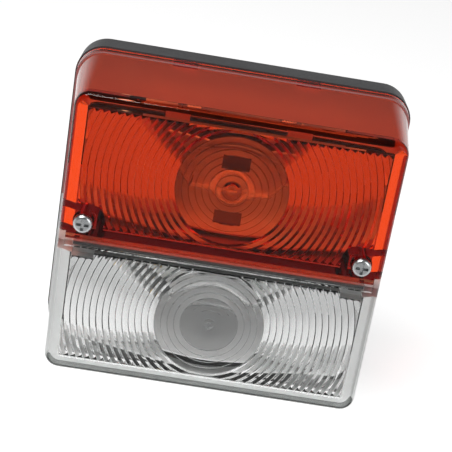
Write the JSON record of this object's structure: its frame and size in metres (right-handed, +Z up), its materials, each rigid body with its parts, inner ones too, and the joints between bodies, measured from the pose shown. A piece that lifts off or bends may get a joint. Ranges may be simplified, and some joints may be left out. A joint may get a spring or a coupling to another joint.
{
  "type": "clearance lamp",
  "caption": "Rectangular vehicle clearance lamp: ribbed amber lens over a clear lens with bull's-eyes, on a dark moulded base with bulbs inside.",
  "frame": {"origin": "centre of the flat rear face that goes against the vehicle", "axes": "+Z up, -Y out of the lenses towards the viewer, +Y into the vehicle, +X to the viewer's right"},
  "size_m": [0.11, 0.053, 0.1014],
  "materials": {
    "base_plastic": "fine-grained black moulded plastic",
    "amber_plastic": "polished transparent amber plastic",
    "clear_plastic": "polished transparent clear plastic",
    "seal_rubber": "matt black rubber",
    "zinc_steel": "bright zinc-plated steel",
    "reflector_sheet": "dull galvanised sheet",
    "brass": "plain brass",
    "bulb_glass": "thin clear glass",
    "cap_metal": "nickel-plated bulb cap",
    "filament_wire": "drawn tungsten wire"
  },
  "bodies": {
    "root": {"base_housing": "base_plastic", "amber_lens": "amber_plastic", "clear_lens": "clear_plastic", "lens_seal": "seal_rubber", "lens_screws": "zinc_steel", "mount_inserts": "brass", "cable_grommet": "seal_rubber", "contact_rivets": "brass", "flasher_bulb_glass": "bulb_glass", "flasher_bulb_caps": "cap_metal", "flasher_filament": "filament_wire", "flasher_live_contact": "brass", "flasher_reflector": "reflector_sheet", "position_bulb_glass": "bulb_glass", "position_bulb_caps": "cap_metal", "position_filament": "filament_wire", "position_live_contact": "brass", "position_reflector": "reflector_sheet"}
  },
  "joints": []
}
